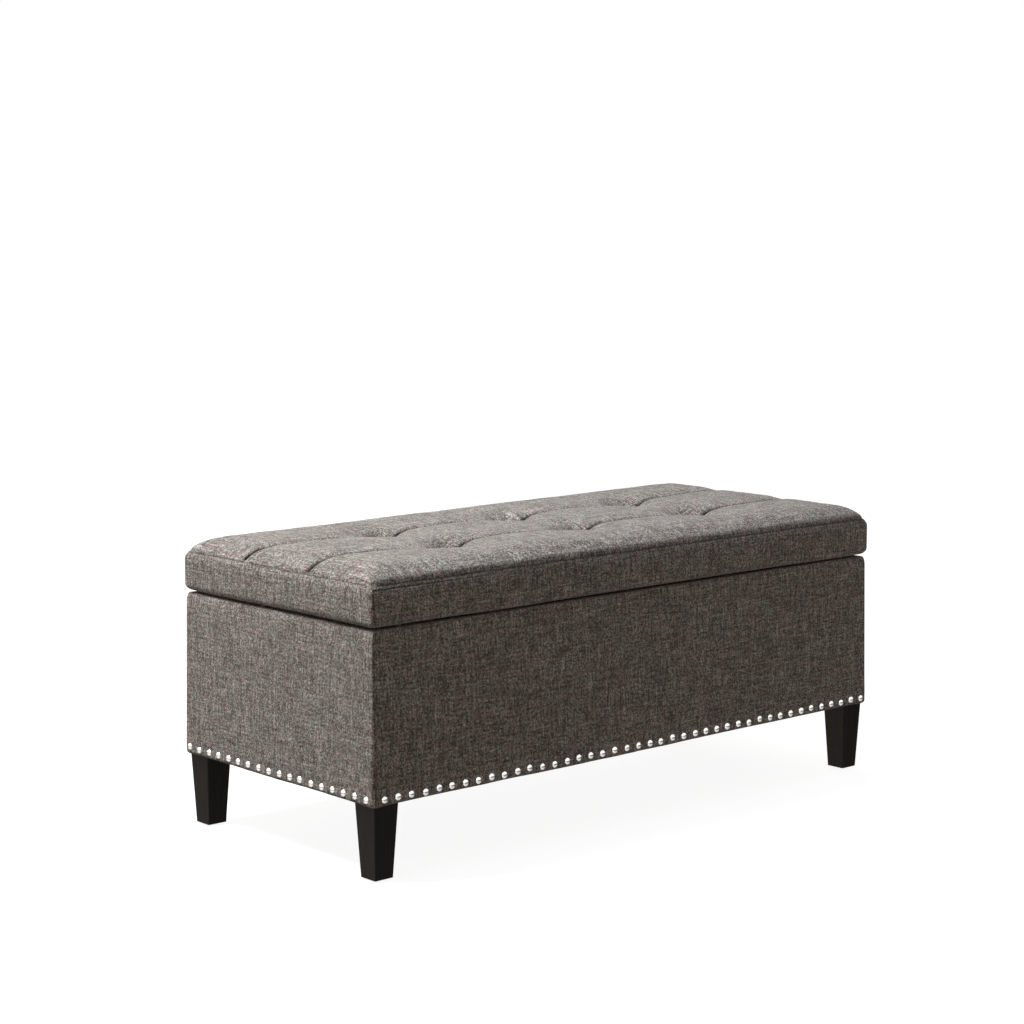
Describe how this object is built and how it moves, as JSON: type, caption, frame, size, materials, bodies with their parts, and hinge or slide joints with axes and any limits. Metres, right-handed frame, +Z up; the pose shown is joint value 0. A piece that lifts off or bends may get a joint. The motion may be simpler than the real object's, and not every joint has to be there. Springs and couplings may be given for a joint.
{
  "type": "storage bench",
  "caption": "Rectangular upholstered storage bench on short tapered legs, with a tufted hinged lid that lifts on slotted stays and a nail trim round its lower edge.",
  "frame": {"origin": "on the floor, under the middle of the overall box", "axes": "+X along the length to the right end, +Y to the hinge side at the back, +Z up"},
  "size_m": [1.079, 0.4758, 0.455],
  "materials": {
    "board": "raw plywood and fibreboard",
    "wadding": "bonded polyester wadding",
    "tweed": "heathered linen-look weave in grey and taupe",
    "foam": "open-cell seat foam",
    "lining": "black non-woven cloth",
    "leg_wood": "espresso stain under a satin lacquer",
    "plastic": "matt moulded",
    "steel": "zinc-plated",
    "nail_nickel": "polished nickel",
    "stay_steel": "zinc-plated pressed steel",
    "twine": "waxed twine"
  },
  "bodies": {
    "base": {"front_panel": "board", "back_panel": "board", "left_end_panel": "board", "right_end_panel": "board", "floor_panel": "board", "front_wadding": "wadding", "back_wadding": "wadding", "left_end_wadding": "wadding", "right_end_wadding": "wadding", "front_cover": "tweed", "back_cover": "tweed", "left_end_cover": "tweed", "right_end_cover": "tweed", "storage_lining": "lining", "dust_cover": "lining", "leg_front_left": "leg_wood", "leg_front_right": "leg_wood", "leg_back_left": "leg_wood", "leg_back_right": "leg_wood", "leg_glides": "plastic", "leg_hanger_bolts": "steel", "leg_tee_nuts": "steel", "nailheads_front": "nail_nickel", "nailheads_left": "nail_nickel", "nailheads_right": "nail_nickel", "carcass_screws": "steel", "lid_bumpers": "plastic", "hinge_left_base_leaf": "stay_steel", "hinge_right_base_leaf": "stay_steel", "hinge_left_pin": "steel", "hinge_right_pin": "steel", "hinge_base_screws": "steel", "stay_left_stud": "stay_steel", "stay_right_stud": "stay_steel", "stay_stud_screws": "steel"},
    "lid": {"lid_board": "board", "lid_foam": "foam", "lid_top_cover": "tweed", "lid_band_front": "tweed", "lid_band_back": "tweed", "lid_band_left": "tweed", "lid_band_right": "tweed", "lid_lining": "lining", "tuft_twines": "twine", "tuft_anchors": "plastic", "hinge_left_lid_leaf": "stay_steel", "hinge_right_lid_leaf": "stay_steel", "hinge_lid_screws": "steel", "stay_left_ear": "stay_steel", "stay_right_ear": "stay_steel", "stay_left_rivet": "steel", "stay_right_rivet": "steel", "stay_ear_screws": "steel"},
    "left_stay": {"stay_left_arm": "stay_steel"},
    "right_stay": {"stay_right_arm": "stay_steel"}
  },
  "joints": [
    {"name": "lid_hinge", "type": "hinge", "parent": "base", "child": "lid", "pos_m": [0, 0.23463, 0.369], "axis": [-1, 0, 0], "range_deg": [0, 85]},
    {"name": "left_stay_pivot", "type": "hinge", "parent": "lid", "child": "left_stay", "pos_m": [-0.505, 0.11523, 0.357], "axis": [-1, 0, 0], "range_deg": [-42.5, 0]},
    {"name": "right_stay_pivot", "type": "hinge", "parent": "lid", "child": "right_stay", "pos_m": [0.505, 0.11523, 0.357], "axis": [-1, 0, 0], "range_deg": [-42.5, 0]}
  ],
  "couplings": [
    {"joint": "left_stay_pivot", "follows": "lid_hinge", "ratio": -0.5},
    {"joint": "right_stay_pivot", "follows": "lid_hinge", "ratio": -0.5}
  ]
}
